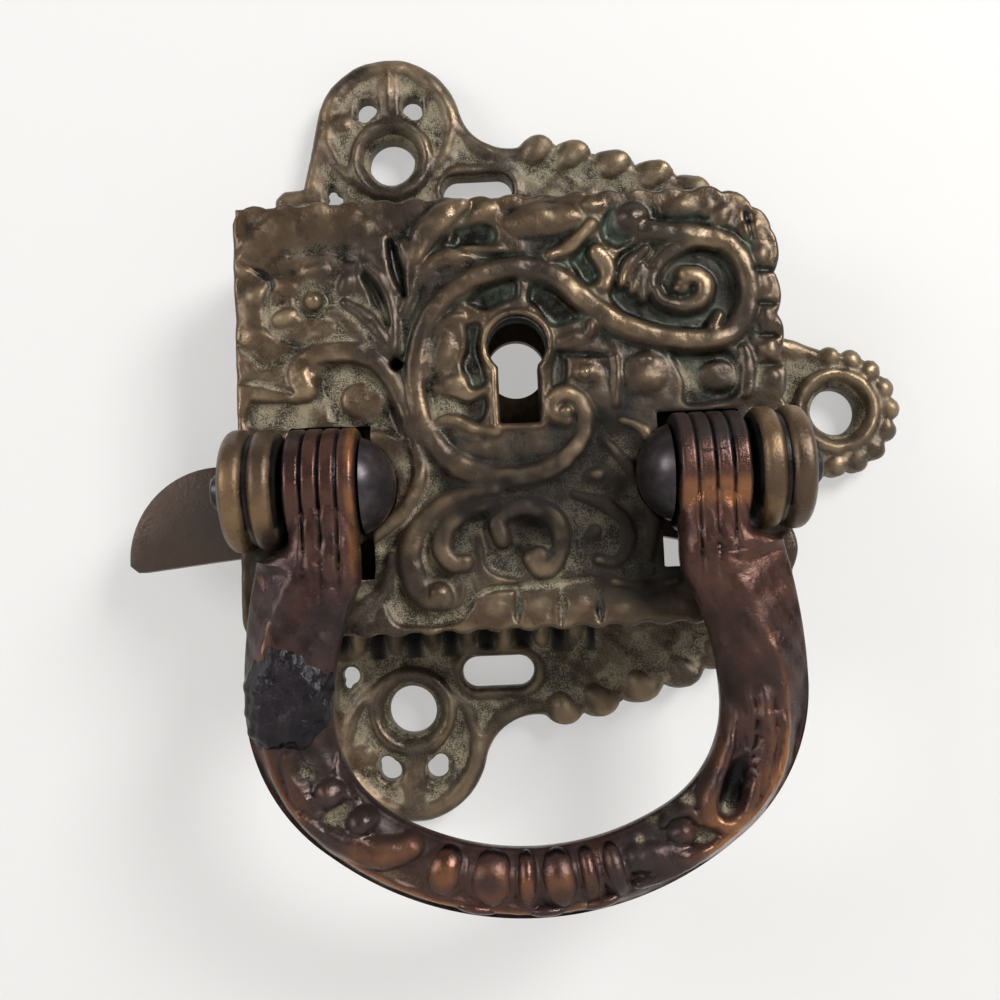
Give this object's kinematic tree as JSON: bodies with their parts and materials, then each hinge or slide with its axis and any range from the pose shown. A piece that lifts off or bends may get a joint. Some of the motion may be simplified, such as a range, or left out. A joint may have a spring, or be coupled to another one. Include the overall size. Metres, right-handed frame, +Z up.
{
  "type": "ice box lock",
  "caption": "Surface-mounted ice box door lock: scroll-cast case with keyhole and pierced ear flange, a hinged bail handle that lifts a pivoted latch nose, and a key-thrown locking dog inside.",
  "frame": {"origin": "centre of the rectangular case on the back mounting plane", "axes": "+X to the viewer's right, +Y into the door, +Z up; the face looks along -Y and the latch nose points along -X"},
  "size_m": [0.0826, 0.0219, 0.089],
  "materials": {
    "case_bronze": "aged cast bronze, dusty in the recesses",
    "bail_bronze": "aged red-brown cast bronze, worn bright on the edges",
    "latch_bronze": "dark worn bronze",
    "plate_brass": "dull sheet brass",
    "pin_steel": "dark browned steel",
    "spring_steel": "blued spring steel"
  },
  "bodies": {
    "case": {"lock_case": "case_bronze", "back_plate": "plate_brass", "pivot_pin_left": "pin_steel", "pivot_pin_right": "pin_steel", "latch_stud": "pin_steel", "latch_spring": "spring_steel", "dog_stud": "pin_steel", "dog_spring": "spring_steel"},
    "bail": {"bail_handle": "bail_bronze"},
    "latch": {"latch_lever": "latch_bronze"},
    "dog": {"lock_dog": "plate_brass"}
  },
  "joints": [
    {"name": "bail_swing", "type": "hinge", "parent": "case", "child": "bail", "pos_m": [0, -0.016, -0.0071], "axis": [-1, 0, 0], "range_deg": [0, 52]},
    {"name": "latch_turn", "type": "hinge", "parent": "case", "child": "latch", "pos_m": [-0.002, -0.0048, -0.0056], "axis": [0, 1, 0], "range_deg": [0, 15.7], "stiffness_Nm_per_rad": 0.02, "springref_deg": -17.19, "deforming": ["latch_spring"]},
    {"name": "dog_turn", "type": "hinge", "parent": "case", "child": "dog", "pos_m": [-0.0185, -0.008, 0.008], "axis": [0, 1, 0], "range_deg": [0, 18]}
  ],
  "couplings": [
    {"joint": "latch_turn", "follows": "bail_swing", "ratio": 0.3}
  ]
}
